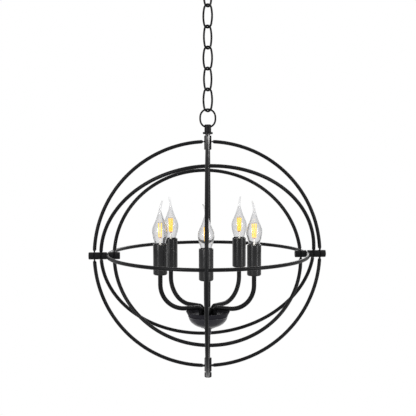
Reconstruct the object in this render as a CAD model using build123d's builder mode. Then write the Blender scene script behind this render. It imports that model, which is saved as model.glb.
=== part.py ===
# Orb chandelier: five round bar rings on shared hubs around a five-arm candle cluster, on an open link chain.
# Millimetres, +Z up, origin on the ceiling at the centre of the strap. The orb's viewing side faces -Y.
import os
from math import asin, atan2, cos, degrees, radians, sin

from build123d import *

# Rings of the orb
ring_rod = 8.0                # round bar of every ring
main_radius = 250.0           # centre line of the fixed ring, in the XZ plane
ring_step = 14.5              # from one ring's centre line to the next
cross_turn = 4.6              # the outer ring stands turned this far from square, about the upright axis
front_tilt = 30.5             # the second ring's top leans towards the viewing side
level_tilt = 90.0             # the third ring lies level
back_tilt = -28.5             # the innermost ring's top leans away
eye_thickness = 3.0           # the bar is pressed flat where a hub passes through it
eye_width = 11.2
eye_half_length = 9.5
neck_length = 4.5             # from the flat to the full round bar
turn_play = 0.1               # end play at each face of a turning ring's eye
turn_fit = 0.08               # radial running fit of an eye on its axle
seat_fit = 0.05               # radial fit of pieces that are threaded or pushed together

# Hubs
hub_diameter = 16.0
side_axle = 6.0
hub_round = 2.2               # rounded outer edge of caps and nuts
side_cap_length = 11.5
side_nut_length = 11.0
pole_nut_length = 16.5
pole_cap_length = 10.5
blind_end = 3.0               # closed end of a cap nut

# Central tube, its nut, and the collar that the loop passes through
stem_diameter = 8.0
stem_bore = 5.6
stem_grip = 7.0               # length of tube held in the collar and in the finial
stem_nut_diameter = 15.0
stem_nut_height = 18.0
collar_diameter = 15.0
collar_length = 16.5
collar_dome = 3.0
flange_diameter = 22.0
flange_thickness = 5.0
flange_round = 1.6
loop_hole = 6.8               # cross hole for the loop
loop_hole_rise = 0.9          # its centre, above the loop's wire
loop_hole_drop = 5.6          # its centre, below the collar's top
inlet_hole = 4.0              # wire inlet in the back of the collar, over the tube's end

# Chain
wire = 4.4
link_length = 54.3
link_width = 29.4
link_end = 10.5               # radius of a link's end, on the wire's centre line
link_count = 6
link_turn = 45.0              # links stand at this angle to the viewing side, by turns to either hand
loop_wire = 4.0
loop_length = 43.5
loop_width = 37.5
loop_end = 16.5
hang_gap = 0.3                # between two wires that hang in each other
loop_gap = 0.5                # the same between the last link and the loop, which cross askew

# Ceiling fitting
canopy_diameter = 120.0
canopy_height = 27.0
canopy_wall = 1.2
canopy_edge = 6.0             # upright edge against the ceiling
canopy_crown = 40.0           # radius of the flat crown round the hole
canopy_round = 14.0
strap_length = 104.0
strap_width = 20.0
strap_thickness = 2.5
slot_length = 12.0
slot_width = 4.6
slot_spacing = 80.0
nipple_diameter = 10.0
nipple_bore = 7.0
nipple_grip = 6.0             # length of nipple held in the canopy's holder
nut_across = 17.0
nut_thickness = 4.0
holder_diameter = 22.0        # turned collar that holds the canopy up
holder_height = 14.0
holder_round = 2.5
outlet_hole = 4.6             # wire outlet in the back of the holder, under the nipple's end
eye_wire = 5.0
eye_radius = 10.5             # centre line of the eye under the holder
eye_sink = 3.0                # the eye's wire runs this far up into the holder

# Plate, cup and finial at the foot of the tube
plate_floor = -136.0          # top of the plate's floor, from the orb's centre
plate_radius = 43.5
rim_radius = 49.0
rim_height = 9.0
sheet = 1.2
bead = 0.9                    # radius of the bead where plate and cup meet
cup_depth = 23.0
cup_bulge = 27.5              # upright half axis of the cup's round side
finial_radius = 16.5
finial_band = 3.0
finial_shoulder = 10.5
finial_waist = 7.0
finial_taper = 6.0            # height from the band to the waist
finial_height = 21.0
finial_round = 3.5

# Arms
arm_tube = 10.0
arm_thread = 8.0
arm_bearings = (77.0, 133.0, 6.0, 225.0, 297.0)   # clockwise from the viewing side, seen from above
arm_reach = 109.0
arm_root = 16.0               # from the axis to an arm's foot
arm_run = -117.5              # level run of the arms, from the orb's centre
arm_bend = 56.0
arm_elbow = 8.0
arm_foot = 7.0                # thread below the top of the plate's floor
arm_nut_across = 12.0
arm_nut_thickness = 4.0

# Sleeves and lamp holders
sleeve_foot = -40.0           # underside of a sleeve, from the orb's centre
sleeve_height = 68.0
sleeve_diameter = 31.0
sleeve_wall = 1.2
sleeve_round = 4.0
arm_entry = 11.0              # thread above a sleeve's underside
insulator_diameter = 26.0
insulator_length = 57.0
insulator_bevel = 1.5
shell_diameter = 16.4
shell_wall = 0.9
shell_depth = 22.0
shell_length = 20.0
tongue_width = 5.0
tongue_thickness = 0.8
tongue_reach = 5.0
button_gap = 0.3              # between a tongue and the button above it

# Candle bulbs
cap_diameter = 13.9
cap_length = 25.0
cap_lift = 3.0                # of a cap's button, over the floor of the holder's bore
cap_wall = 0.6
cap_floor = 5.0
skirt_diameter = 17.0
skirt_height = 5.0
button_diameter = 5.0
button_height = 1.0
cone_height = 2.5
neck_diameter = 15.4
neck_seat = 3.6               # length of glass neck inside the skirt
glass_wall = 0.9
glass_round = 11.9            # radius of the glass low on its side
glass_round_z = 6.5
belly_radius = 17.5
belly_z = 34.0
shoulder_radius = 9.2
shoulder_z = 57.0
tail_radius = 2.9
tail_z = 77.0
tail_middle_radius = 2.1
tail_middle_z = 90.0
tail_end_radius = 1.4
tail_end_z = 98.5
tail_lean = 8.0               # how far the tail's end stands off the bulb's axis
tail_bearings = (40.0, 118.0, 160.0, 62.0, 124.0)  # anticlockwise from +X, one for each bulb
mount_gap = 0.15              # between the mount's foot and the neck
mount_foot = 1.2
mount_radius = 4.2
mount_top_radius = 1.6
mount_height = 22.0
bridge_thickness = 1.0
filament_count = 4
filament_rod = 2.4
filament_length = 34.0
filament_foot = 3.2           # from the axis
filament_spread = 4.6

# Worked out from the sizes above
up = Vector(0, 0, 1)
side_dir = Vector(1, 0, 0)
origin = Vector(0, 0, 0)
half_eye = eye_thickness / 2
cross_radius = main_radius + ring_step
front_radius = main_radius - ring_step
level_radius = front_radius - ring_step
back_radius = level_radius - ring_step

holder_foot = -canopy_height - holder_height
eye_z = holder_foot + eye_sink - eye_radius
first_link_top = eye_z - eye_radius + (eye_wire + wire) / 2 + hang_gap
link_pitch = link_length - 2 * wire - hang_gap
link_drop = link_length - wire
last_link_foot = first_link_top - (link_count - 1) * link_pitch - link_drop
loop_top = last_link_foot + (wire + loop_wire) / 2 + loop_gap
loop_foot = loop_top - (loop_length - loop_wire)
collar_top = loop_foot + loop_hole_rise + loop_hole_drop
flange_foot = collar_top - collar_length - flange_thickness
orb_z = flange_foot - turn_play - half_eye - cross_radius
orb_centre = Vector(0, 0, orb_z)

floor_z = orb_z + plate_floor
cup_top = floor_z - sheet
cup_foot = cup_top - cup_depth
stem_top = flange_foot + stem_grip
stem_foot = cup_foot - stem_grip

sleeve_z = orb_z + sleeve_foot
insulator_z = sleeve_z + sleeve_wall
insulator_top = insulator_z + insulator_length
shell_z = insulator_top - shell_depth
cap_z = shell_z + cap_lift
glass_z = cap_z + cap_length
mount_top = glass_z - neck_seat + mount_height

axle_seat = side_axle + 2 * seat_fit
axle_turn = side_axle + 2 * turn_fit
stem_seat = stem_diameter + 2 * seat_fit
stem_turn = stem_diameter + 2 * turn_fit


def at_height(z, x=0.0, y=0.0):
    return Plane(origin=(x, y, z), z_dir=up)


def level_dir(angle):
    return Vector(cos(radians(angle)), sin(radians(angle)), 0)


# The direction of a bearing given clockwise from the viewing side, seen from above
def bearing_dir(bearing):
    return level_dir(-90 - bearing)


# The upright direction leaned towards the viewing side
def tilt_dir(angle):
    return Vector(0, -sin(radians(angle)), cos(radians(angle)))


def spot(bearing, reach):
    return bearing_dir(bearing) * reach


def save(piece, name):
    piece.label = name
    export_step(piece, f"parts/{name}.step")
    print(f"{name}: {len(piece.solids())} solids, {piece.volume:.0f} mm3")


# Separate pieces of one kind, kept side by side in one part
def together(pieces):
    with BuildPart() as group:
        add(pieces)
    return group.part


# A turned sleeve standing on a plane, with a bore and, where asked, a rounded far edge
def turned_sleeve(plane, outer, bore, length, rounded=0.0):
    with BuildPart() as sleeve:
        with BuildSketch(plane):
            Circle(outer / 2)
        extrude(amount=length)
        if rounded:
            fillet(sleeve.faces().sort_by(Axis(plane.origin, plane.z_dir))[-1].edges(), radius=rounded)
        with BuildSketch(plane):
            Circle(bore / 2)
        extrude(amount=length, mode=Mode.SUBTRACT)
    return sleeve.part


# A hub's cap and the axle behind it, turned from one bar
def capped_axle(plane, diameter, cap_length, axle_length):
    with BuildPart() as axle:
        with BuildSketch(plane):
            Circle(hub_diameter / 2)
        extrude(amount=cap_length)
        fillet(axle.faces().sort_by(Axis(plane.origin, plane.z_dir))[-1].edges(), radius=hub_round)
        with BuildSketch(plane):
            Circle(diameter / 2)
        extrude(amount=-axle_length)
    return axle.part


# A round cap nut with a blind bore
def cap_nut(plane, bore, length):
    with BuildPart() as nut:
        with BuildSketch(plane):
            Circle(hub_diameter / 2)
        extrude(amount=length)
        fillet(nut.faces().sort_by(Axis(plane.origin, plane.z_dir))[-1].edges(), radius=hub_round)
        with BuildSketch(plane):
            Circle(bore / 2)
        extrude(amount=length - blind_end, mode=Mode.SUBTRACT)
    return nut.part


def hex_nut(plane, across, bore, thickness):
    with BuildPart() as nut:
        with BuildSketch(plane):
            RegularPolygon(across / 2, 6, major_radius=False)
            Circle(bore / 2, mode=Mode.SUBTRACT)
        extrude(amount=thickness)
    return nut.part


# The angle at a ring's centre from a hub to where the full round bar begins
def neck_angle(radius):
    return degrees(asin((eye_half_length + neck_length) / radius))


# Half of the flat through which a hub passes, with the neck that joins it to the round bar
def ring_eye(radius, hub_dir, run_dir):
    turn = Axis(origin, hub_dir.cross(run_dir))
    across = hub_dir.rotate(turn, neck_angle(radius))
    along = run_dir.rotate(turn, neck_angle(radius))
    hub_point = orb_centre + hub_dir * radius
    with BuildPart() as eye:
        with BuildSketch(Plane(origin=hub_point + run_dir * eye_half_length, x_dir=hub_dir, z_dir=run_dir)):
            Ellipse(eye_thickness / 2, eye_width / 2)
        with BuildSketch(Plane(origin=orb_centre + across * radius, x_dir=across, z_dir=along)):
            Circle(ring_rod / 2)
        loft()
        with BuildSketch(Plane(origin=hub_point, x_dir=hub_dir, z_dir=run_dir)):
            Rectangle(eye_thickness, eye_width)
        extrude(amount=eye_half_length)
    return eye.part


# A ring of round bar, pressed flat and drilled where its hubs pass: at two places, or at four
def orb_ring(radius, hub_dir, run_dir, bore, second_bore=0.0):
    normal = hub_dir.cross(run_dir)
    start = neck_angle(radius)
    hub_count = 4 if second_bore else 2
    drilled = [(hub_dir, run_dir, bore), (run_dir, hub_dir, second_bore)][: hub_count // 2]
    eyes = []
    starts = []
    for hub, run, _ in drilled:
        for hub_side in (1, -1):
            for run_side in (1, -1):
                eyes.append(ring_eye(radius, hub * hub_side, run * run_side))
    for index in range(hub_count):
        across = hub_dir.rotate(Axis(origin, normal), index * 360 / hub_count + start)
        starts.append(Plane(origin=orb_centre + across * radius, x_dir=across, z_dir=normal.cross(across)))
    with BuildPart() as ring:
        with BuildSketch(*starts):
            Circle(ring_rod / 2)
        revolve(axis=Axis(orb_centre, normal), revolution_arc=360 / hub_count - 2 * start)
        add(eyes)
        for hub, _, hole in drilled:
            with BuildSketch(Plane(origin=orb_centre, z_dir=hub)):
                Circle(hole / 2)
            extrude(amount=radius + eye_thickness, both=True, mode=Mode.SUBTRACT)
    return ring.part


# An oval wire link standing upright, with its width along a level direction: two bowed sides, two round ends
def oval_link(length, width, rod, end_radius, top_z, across):
    normal = across.cross(up)
    centre = Vector(0, 0, top_z + (rod - length) / 2)
    half_width = (width - rod) / 2
    rise = (length - rod) / 2 - end_radius
    side_radius = (half_width**2 + rise**2 - end_radius**2) / (2 * (half_width - end_radius))
    side_angle = degrees(atan2(rise, side_radius - half_width))
    with BuildPart() as link:
        for half in (1, -1):
            side_centre = centre - across * half * (side_radius - half_width)
            end_centre = centre + up * half * rise
            low = (across * half).rotate(Axis(origin, normal), -side_angle)
            high = (across * half).rotate(Axis(origin, normal), side_angle)
            with BuildSketch(Plane(origin=side_centre + low * side_radius, x_dir=low, z_dir=normal.cross(low))):
                Circle(rod / 2)
            revolve(axis=Axis(side_centre, normal), revolution_arc=2 * side_angle)
            with BuildSketch(Plane(origin=end_centre + high * end_radius, x_dir=high, z_dir=normal.cross(high))):
                Circle(rod / 2)
            revolve(axis=Axis(end_centre, normal), revolution_arc=180 - 2 * side_angle)
    return link.part


def ceiling_strap():
    with BuildPart() as strap:
        with BuildSketch(at_height(-strap_thickness)):
            SlotOverall(strap_length, strap_width)
            Circle(nipple_diameter / 2 + seat_fit, mode=Mode.SUBTRACT)
            with GridLocations(slot_spacing, 1, 2, 1):
                SlotOverall(slot_length, slot_width, mode=Mode.SUBTRACT)
        extrude(amount=strap_thickness)
    return strap.part


def canopy_cup():
    with BuildPart() as canopy:
        with BuildSketch(Plane.XZ):
            with BuildLine():
                Polyline(
                    (0, 0),
                    (0, -canopy_height),
                    (canopy_crown, -canopy_height),
                    (canopy_diameter / 2, -canopy_edge),
                    (canopy_diameter / 2, 0),
                    close=True,
                )
            make_face()
            fillet(vertices().sort_by_distance((canopy_crown, -canopy_height))[0], radius=canopy_round)
        revolve(axis=Axis.Z)
        offset(amount=-canopy_wall, openings=canopy.faces().sort_by(Axis.Z)[-1])
        with BuildSketch(at_height(-canopy_height)):
            Circle(nipple_diameter / 2 + seat_fit)
        extrude(amount=canopy_height, mode=Mode.SUBTRACT)
    return canopy.part


# The turned collar that holds the canopy up, with the eye that the chain hangs in
def canopy_holder():
    across = level_dir(-link_turn)
    with BuildPart() as holder:
        with BuildSketch(at_height(holder_foot)):
            Circle(holder_diameter / 2)
        extrude(amount=holder_height)
        fillet(holder.edges().group_by(Axis.Z)[0], radius=holder_round)
        with BuildSketch(Plane(origin=Vector(0, 0, eye_z) + across * eye_radius, x_dir=across, z_dir=up)):
            Circle(eye_wire / 2)
        revolve(axis=Axis((0, 0, eye_z), across.cross(up)))
        with BuildSketch(at_height(-canopy_height)):
            Circle(nipple_diameter / 2 + seat_fit)
        extrude(amount=-nipple_grip - outlet_hole, mode=Mode.SUBTRACT)
        with BuildSketch(Plane(origin=(0, 0, -canopy_height - nipple_grip - outlet_hole / 2), z_dir=(0, 1, 0))):
            Circle(outlet_hole / 2)
        extrude(amount=holder_diameter, mode=Mode.SUBTRACT)
    return holder.part


def ceiling_fitting():
    nut_bore = nipple_diameter + 2 * seat_fit
    nipple_foot = -canopy_height - nipple_grip
    strap_nut = hex_nut(at_height(-strap_thickness - nut_thickness), nut_across, nut_bore, nut_thickness)
    crown_nut = hex_nut(at_height(canopy_wall - canopy_height), nut_across, nut_bore, nut_thickness)
    save(ceiling_strap(), "ceiling_strap")
    save(turned_sleeve(at_height(nipple_foot), nipple_diameter, nipple_bore, -nipple_foot), "ceiling_nipple")
    save(together([strap_nut, crown_nut]), "nipple_nuts")
    save(canopy_cup(), "canopy")
    save(canopy_holder(), "canopy_loop")


def chain():
    for index in range(link_count):
        turn = link_turn if index % 2 == 0 else -link_turn
        top_z = first_link_top - index * link_pitch
        link = oval_link(link_length, link_width, wire, link_end, top_z, level_dir(turn))
        save(link, f"chain_link_{index + 1}")
    save(oval_link(loop_length, loop_width, loop_wire, loop_end, loop_top, side_dir), "loop_ring")


# The flanged collar on top of the tube, drilled across for the loop and from behind for the wires
def loop_collar():
    with BuildPart() as collar:
        with BuildSketch(at_height(flange_foot)):
            Circle(flange_diameter / 2)
        extrude(amount=flange_thickness)
        fillet(collar.edges(), radius=flange_round)
        with BuildSketch(at_height(flange_foot)):
            Circle(collar_diameter / 2)
        extrude(amount=flange_thickness + collar_length)
        fillet(collar.edges().group_by(Axis.Z)[-1], radius=collar_dome)
        with BuildSketch(at_height(flange_foot)):
            Circle(stem_seat / 2)
        extrude(amount=stem_grip + inlet_hole, mode=Mode.SUBTRACT)
        with BuildSketch(Plane(origin=(0, 0, collar_top - loop_hole_drop), z_dir=side_dir)):
            Circle(loop_hole / 2)
        extrude(amount=collar_diameter, both=True, mode=Mode.SUBTRACT)
        with BuildSketch(Plane(origin=(0, 0, stem_top + inlet_hole / 2), z_dir=(0, 1, 0))):
            Circle(inlet_hole / 2)
        extrude(amount=collar_diameter, mode=Mode.SUBTRACT)
    return collar.part


def rings():
    save(orb_ring(main_radius, side_dir, up, axle_seat, stem_seat), "main_ring")
    save(orb_ring(cross_radius, up, bearing_dir(cross_turn), stem_turn), "cross_ring")
    save(orb_ring(front_radius, side_dir, tilt_dir(front_tilt), axle_turn), "front_ring")
    save(orb_ring(level_radius, side_dir, tilt_dir(level_tilt), axle_turn), "level_ring")
    save(orb_ring(back_radius, side_dir, tilt_dir(back_tilt), axle_turn), "back_ring")


# What clamps the rings at either side: a capped axle, a spacer in each gap and a nut inside
def side_hubs():
    axles = []
    spacers = []
    nuts = []
    nut_face = back_radius - half_eye - turn_play
    axle_length = main_radius + half_eye - nut_face + side_nut_length - blind_end - hang_gap
    for side in (-1, 1):
        outward = side_dir * side
        cap_plane = Plane(origin=orb_centre + outward * (main_radius + half_eye), z_dir=outward)
        axles.append(capped_axle(cap_plane, side_axle, side_cap_length, axle_length))
        for inner in (front_radius, level_radius, back_radius):
            outer_play = 0 if inner == front_radius else turn_play
            foot = inner + half_eye + turn_play
            length = inner + ring_step - half_eye - outer_play - foot
            plane = Plane(origin=orb_centre + outward * foot, z_dir=outward)
            spacers.append(turned_sleeve(plane, hub_diameter, axle_seat, length))
        nuts.append(cap_nut(Plane(origin=orb_centre + outward * nut_face, z_dir=-outward), axle_seat, side_nut_length))
    save(together(axles), "side_axles")
    save(together(spacers), "side_spacers")
    save(together(nuts), "side_nuts")


# The hubs at top and foot of the orb, where the main ring is clamped and the outer ring turns
def pole_hubs():
    spacer_face = main_radius + half_eye
    spacer_length = cross_radius - half_eye - turn_play - spacer_face
    cap_face = cross_radius + half_eye + turn_play
    axle_length = cap_face - main_radius + half_eye + pole_nut_length - blind_end - hang_gap
    for name, outward in (("top", up), ("bottom", -up)):
        spacer_plane = Plane(origin=orb_centre + outward * spacer_face, z_dir=outward)
        save(turned_sleeve(spacer_plane, hub_diameter, stem_seat, spacer_length), f"{name}_spacer")
    top_nut_plane = Plane(origin=orb_centre + up * (main_radius - half_eye), z_dir=-up)
    bottom_nut_plane = Plane(origin=orb_centre - up * (main_radius - half_eye), z_dir=up)
    cap_plane = Plane(origin=orb_centre - up * cap_face, z_dir=-up)
    save(turned_sleeve(top_nut_plane, hub_diameter, stem_seat, pole_nut_length, hub_round), "top_nut")
    save(cap_nut(bottom_nut_plane, stem_seat, pole_nut_length), "bottom_nut")
    save(capped_axle(cap_plane, stem_diameter, pole_cap_length, axle_length), "bottom_axle")


# The dished plate that the arms stand on
def arm_plate():
    with BuildPart() as plate:
        with BuildSketch(Plane.XZ):
            with BuildLine():
                Polyline(
                    (0, cup_top),
                    (plate_radius, cup_top),
                    (rim_radius, floor_z + rim_height),
                    (rim_radius - sheet, floor_z + rim_height),
                    (plate_radius - sheet, floor_z),
                    (0, floor_z),
                    close=True,
                )
            make_face()
        revolve(axis=Axis.Z)
        with BuildSketch(at_height(cup_top)):
            Circle(stem_seat / 2)
            for bearing in arm_bearings:
                with Locations(spot(bearing, arm_root)):
                    Circle(arm_thread / 2 + seat_fit)
        extrude(amount=sheet, mode=Mode.SUBTRACT)
    return plate.part


# A solid of revolution under the plate: round sides, flat foot. Its inset copy hollows the cup.
def cup_body(inset):
    flat_angle = degrees(asin((cup_depth - inset) / (cup_bulge - inset)))
    half_width = plate_radius - inset
    with BuildPart() as body:
        with BuildSketch(Plane.XZ):
            with BuildLine():
                side = EllipticalCenterArc((0, cup_top), half_width, cup_bulge - inset, -flat_angle, arc_size=flat_angle)
                foot = Line(side @ 0, (0, cup_foot + inset))
                axis = Line(foot @ 1, (0, cup_top))
                Line(axis @ 1, side @ 1)
            make_face()
        revolve(axis=Axis.Z)
    return body.part


def wiring_cup():
    outside = cup_body(0)
    inside = cup_body(sheet)
    with BuildPart() as cup:
        add(outside)
        with BuildSketch(Plane.XZ):
            with Locations((plate_radius, cup_top - bead)):
                Circle(bead)
        revolve(axis=Axis.Z)
        add(inside, mode=Mode.SUBTRACT)
        with BuildSketch(at_height(cup_foot)):
            Circle(stem_seat / 2)
        extrude(amount=cup_depth, mode=Mode.SUBTRACT)
    return cup.part


def finial():
    waist_z = cup_foot - finial_band - finial_taper
    with BuildPart() as knob:
        with BuildSketch(Plane.XZ):
            with BuildLine():
                band = Polyline((0, cup_foot), (finial_radius, cup_foot), (finial_radius, cup_foot - finial_band))
                shoulder = (finial_shoulder, cup_foot - finial_band - finial_taper / 3)
                taper = ThreePointArc(band @ 1, shoulder, (finial_waist, waist_z))
                Polyline(taper @ 1, (finial_waist, cup_foot - finial_height), (0, cup_foot - finial_height), (0, cup_foot))
            make_face()
            fillet(vertices().sort_by_distance((finial_waist, cup_foot - finial_height))[0], radius=finial_round)
        revolve(axis=Axis.Z)
        with BuildSketch(at_height(cup_foot)):
            Circle(stem_seat / 2)
        extrude(amount=-stem_grip, mode=Mode.SUBTRACT)
    return knob.part


# One arm: out of the plate, level over its rim, and up to the sleeve, with a thread at both ends
def arm(bearing):
    foot = spot(bearing, arm_root)
    tip = spot(bearing, arm_reach)
    run_z = orb_z + arm_run
    with BuildPart() as tube:
        with BuildLine() as path:
            FilletPolyline(
                foot + up * floor_z,
                foot + up * run_z,
                tip + up * run_z,
                tip + up * sleeve_z,
                radius=[arm_elbow, arm_bend],
            )
        with BuildSketch(Plane(origin=path.line @ 0, z_dir=up)):
            Circle(arm_tube / 2)
        sweep()
        with BuildSketch(at_height(floor_z, foot.X, foot.Y)):
            Circle(arm_thread / 2)
        extrude(amount=-arm_foot)
        with BuildSketch(at_height(sleeve_z, tip.X, tip.Y)):
            Circle(arm_thread / 2)
        extrude(amount=arm_entry)
    return tube.part


# The open sleeve round a lamp holder, with a rounded foot
def candle_sleeve(x, y):
    with BuildPart() as sleeve:
        with BuildSketch(at_height(sleeve_z, x, y)):
            Circle(sleeve_diameter / 2)
        extrude(amount=sleeve_height)
        fillet(sleeve.faces().sort_by(Axis.Z)[0].edges(), radius=sleeve_round)
        offset(amount=-sleeve_wall, openings=sleeve.faces().sort_by(Axis.Z)[-1])
        with BuildSketch(at_height(sleeve_z, x, y)):
            Circle(arm_thread / 2 + seat_fit)
        extrude(amount=sleeve_wall, mode=Mode.SUBTRACT)
    return sleeve.part


def insulator(x, y):
    with BuildPart() as holder:
        with BuildSketch(at_height(insulator_z, x, y)):
            Circle(insulator_diameter / 2)
        extrude(amount=insulator_length)
        chamfer(holder.edges().group_by(Axis.Z)[-1], length=insulator_bevel)
        chamfer(holder.edges().group_by(Axis.Z)[0], length=sleeve_round)
        with BuildSketch(at_height(shell_z, x, y)):
            Circle(shell_diameter / 2 + seat_fit)
        extrude(amount=shell_depth, mode=Mode.SUBTRACT)
        with BuildSketch(at_height(insulator_z, x, y)):
            Circle(arm_thread / 2 + seat_fit)
        extrude(amount=arm_entry, mode=Mode.SUBTRACT)
    return holder.part


# The sprung tongue on the floor of a lamp holder
def tongue(x, y):
    crest = cap_lift - button_gap - tongue_thickness
    with BuildPart() as strip:
        with BuildSketch(Plane(origin=(x, y - tongue_width / 2, shell_z), x_dir=side_dir, z_dir=(0, 1, 0))):
            with BuildLine():
                Polyline(
                    (-tongue_reach, 0),
                    (-tongue_reach / 2, 0),
                    (0, -crest),
                    (tongue_reach / 2, -crest),
                    (tongue_reach / 2, -crest - tongue_thickness),
                    (0, -crest - tongue_thickness),
                    (-tongue_reach / 2, -tongue_thickness),
                    (-tongue_reach, -tongue_thickness),
                    close=True,
                )
            make_face()
        extrude(amount=tongue_width)
    return strip.part


# The screw cap: button, insulating cone, plain barrel and the flared skirt that holds the glass
def bulb_cap(x, y):
    barrel = cap_diameter / 2
    skirt = skirt_diameter / 2
    skirt_z = cap_length - skirt_height
    cone_z = button_height + cone_height
    with BuildPart() as cap:
        with BuildSketch(Plane(origin=(x, y, cap_z), x_dir=side_dir, z_dir=(0, -1, 0))):
            with BuildLine():
                Polyline(
                    (0, 0),
                    (button_diameter / 2, 0),
                    (button_diameter / 2, button_height),
                    (barrel, cone_z),
                    (barrel, skirt_z),
                    (skirt, skirt_z + cap_wall),
                    (skirt, cap_length),
                    (skirt - cap_wall, cap_length),
                    (skirt - cap_wall, skirt_z + 2 * cap_wall),
                    (barrel - cap_wall, skirt_z + cap_wall),
                    (barrel - cap_wall, cap_floor),
                    (0, cap_floor),
                    close=True,
                )
            make_face()
        revolve(axis=Axis((x, y, 0), up))
    return cap.part


# The body of a bulb's glass, up to its tail. Its inset copy hollows it.
def glass_body(x, y, inset, foot_z):
    with BuildPart() as body:
        with BuildSketch(Plane(origin=(x, y, glass_z), x_dir=side_dir, z_dir=(0, -1, 0))):
            with BuildLine():
                neck = Line((neck_diameter / 2 - inset, foot_z), (neck_diameter / 2 - inset, 0))
                side = Spline(
                    neck @ 1,
                    (glass_round - inset, glass_round_z),
                    (belly_radius - inset, belly_z),
                    (shoulder_radius - inset, shoulder_z),
                    (tail_radius - inset, tail_z),
                    tangents=((1, 1), (-0.12, 1)),
                )
                top = Line(side @ 1, (0, tail_z))
                axis = Line(top @ 1, (0, foot_z))
                Line(axis @ 1, neck @ 0)
            make_face()
        revolve(axis=Axis((x, y, 0), up))
    return body.part


# The glass of a candle bulb, drawn out into a bent tail
def bulb_glass(x, y, lean_angle):
    outside = glass_body(x, y, 0, -neck_seat)
    inside = glass_body(x, y, glass_wall, -neck_seat)
    lean = level_dir(lean_angle)
    base = Vector(x, y, glass_z)
    with BuildPart() as glass:
        add(outside)
        add(inside, mode=Mode.SUBTRACT)
        with BuildSketch(Plane(origin=base + up * tail_z, x_dir=lean, z_dir=up)):
            Circle(tail_radius)
        middle = base + up * tail_middle_z + lean * tail_lean / 3
        with BuildSketch(Plane(origin=middle, x_dir=lean - up * 0.5, z_dir=up + lean * 0.5)):
            Circle(tail_middle_radius)
        end = base + up * tail_end_z + lean * tail_lean
        with BuildSketch(Plane(origin=end, x_dir=lean - up * 0.7, z_dir=up + lean * 0.7)):
            Circle(tail_end_radius)
        loft()
    return glass.part


# The glass mount inside a bulb with its upright filaments
def bulb_filament(x, y):
    foot_radius = neck_diameter / 2 - glass_wall - mount_gap
    foot_z = glass_z - neck_seat
    with BuildPart() as inner:
        with BuildSketch(Plane(origin=(x, y, foot_z), x_dir=side_dir, z_dir=(0, -1, 0))):
            with BuildLine():
                Polyline(
                    (0, 0),
                    (foot_radius, 0),
                    (foot_radius, mount_foot),
                    (mount_radius, 2 * mount_foot),
                    (mount_top_radius, mount_height),
                    (0, mount_height),
                    close=True,
                )
            make_face()
        revolve(axis=Axis((x, y, 0), up))
        with BuildSketch(at_height(mount_top - bridge_thickness, x, y)):
            Circle(filament_foot + filament_rod / 2)
        extrude(amount=bridge_thickness)
        for index in range(filament_count):
            outward = level_dir(index * 360 / filament_count + 45)
            foot = Vector(x, y, mount_top - bridge_thickness) + outward * filament_foot
            rod_dir = up * filament_length + outward * (filament_spread - filament_foot)
            with BuildSketch(Plane(origin=foot, z_dir=rod_dir)):
                Circle(filament_rod / 2)
            extrude(amount=filament_length)
        bridge_z = mount_top + filament_length - 2 * bridge_thickness
        with BuildSketch(at_height(bridge_z, x, y)):
            Circle(filament_spread + filament_rod / 2)
            Circle(filament_spread - filament_rod / 2, mode=Mode.SUBTRACT)
        extrude(amount=bridge_thickness / 2)
    return inner.part


def cluster():
    save(turned_sleeve(at_height(stem_foot), stem_diameter, stem_bore, stem_top - stem_foot), "stem_tube")
    nut_plane = at_height(floor_z)
    save(turned_sleeve(nut_plane, stem_nut_diameter, stem_seat, stem_nut_height, hub_round), "stem_nut")
    save(arm_plate(), "arm_plate")
    save(wiring_cup(), "wiring_cup")
    save(finial(), "finial")
    nuts = []
    insulators = []
    shells = []
    tongues = []
    for index, bearing in enumerate(arm_bearings):
        foot = spot(bearing, arm_root)
        tip = spot(bearing, arm_reach)
        nut_plane = at_height(cup_top - arm_nut_thickness, foot.X, foot.Y)
        nuts.append(hex_nut(nut_plane, arm_nut_across, arm_thread + 2 * seat_fit, arm_nut_thickness))
        insulators.append(insulator(tip.X, tip.Y))
        shell_plane = at_height(shell_z, tip.X, tip.Y)
        shell_bore = shell_diameter - 2 * shell_wall
        shells.append(turned_sleeve(shell_plane, shell_diameter, shell_bore, shell_length))
        tongues.append(tongue(tip.X, tip.Y))
        save(arm(bearing), f"arm_{index + 1}")
        save(candle_sleeve(tip.X, tip.Y), f"candle_sleeve_{index + 1}")
        save(bulb_cap(tip.X, tip.Y), f"bulb_cap_{index + 1}")
        save(bulb_glass(tip.X, tip.Y, tail_bearings[index]), f"bulb_glass_{index + 1}")
        save(bulb_filament(tip.X, tip.Y), f"bulb_filament_{index + 1}")
    save(together(nuts), "arm_nuts")
    save(together(insulators), "lamp_holders")
    save(together(shells), "screw_shells")
    save(together(tongues), "contact_tongues")


os.makedirs("parts", exist_ok=True)
ceiling_fitting()
chain()
save(loop_collar(), "loop_collar")
rings()
side_hubs()
pole_hubs()
cluster()
print(f"orb centre {orb_z:.1f} mm below the ceiling")
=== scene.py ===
import math

import bmesh
import bpy
from mathutils import Matrix, Vector


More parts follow.
